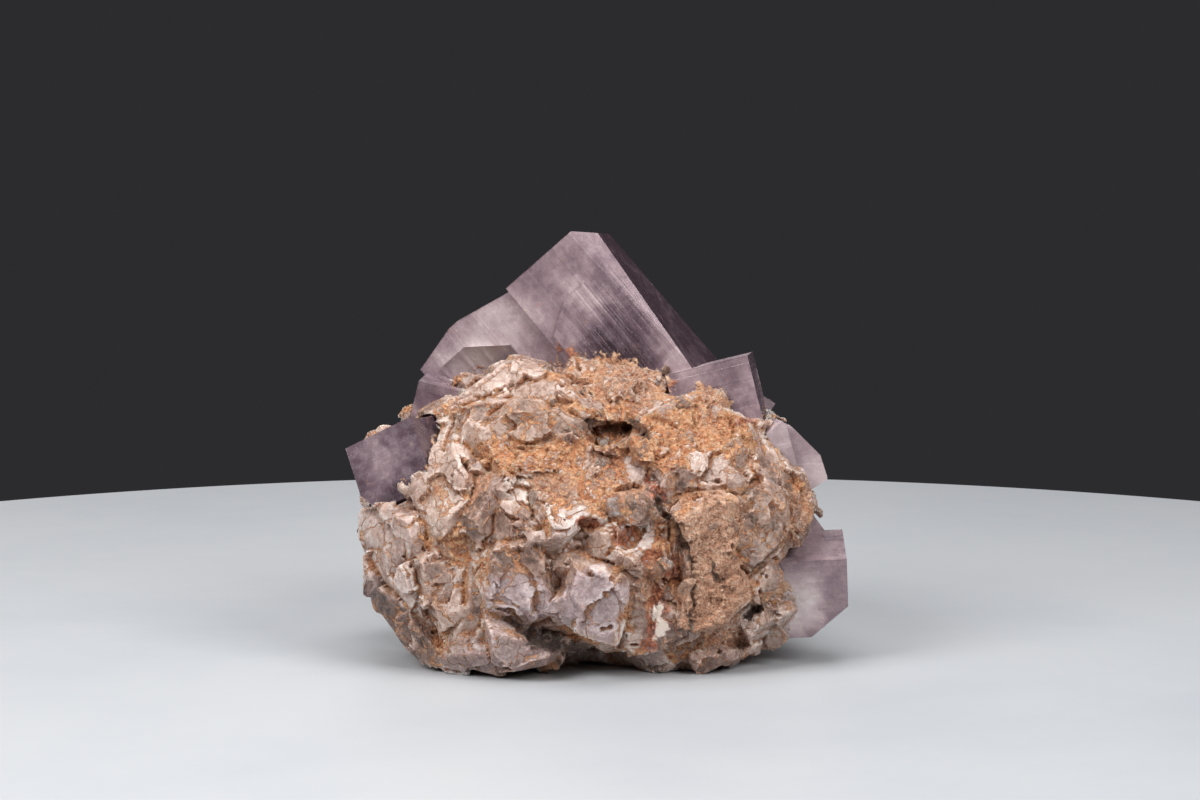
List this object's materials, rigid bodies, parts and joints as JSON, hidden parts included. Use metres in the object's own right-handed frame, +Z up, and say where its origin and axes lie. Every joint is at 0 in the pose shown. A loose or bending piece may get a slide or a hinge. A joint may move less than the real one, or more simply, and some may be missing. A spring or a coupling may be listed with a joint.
{
  "type": "fluorite cluster",
  "caption": "Mineral specimen of purple cubic fluorite crystals grown on a lump of broken, iron-stained rock, standing on its flat underside.",
  "frame": {"origin": "on the surface that it stands on, near the middle of the underside", "axes": "+Z up, +X to the right as seen from the front, -Y towards the front, which shows the broken side"},
  "size_m": [0.0688, 0.0546, 0.0586],
  "materials": {
    "rock": "rough broken stone, stained ochre and rust, with grey and lavender glassy chips",
    "purple_fluorite": "see-through to cloudy purple crystal with fine growth lines",
    "pale_fluorite": "cloudy pale lilac crystal"
  },
  "bodies": {
    "root": {"matrix": "rock", "crown_crystals": "purple_fluorite", "back_crystals": "purple_fluorite", "back_right_crystals": "purple_fluorite", "back_left_crystal": "purple_fluorite", "left_crystal": "purple_fluorite", "right_crystal": "pale_fluorite", "lower_right_crystal": "purple_fluorite"}
  },
  "joints": []
}
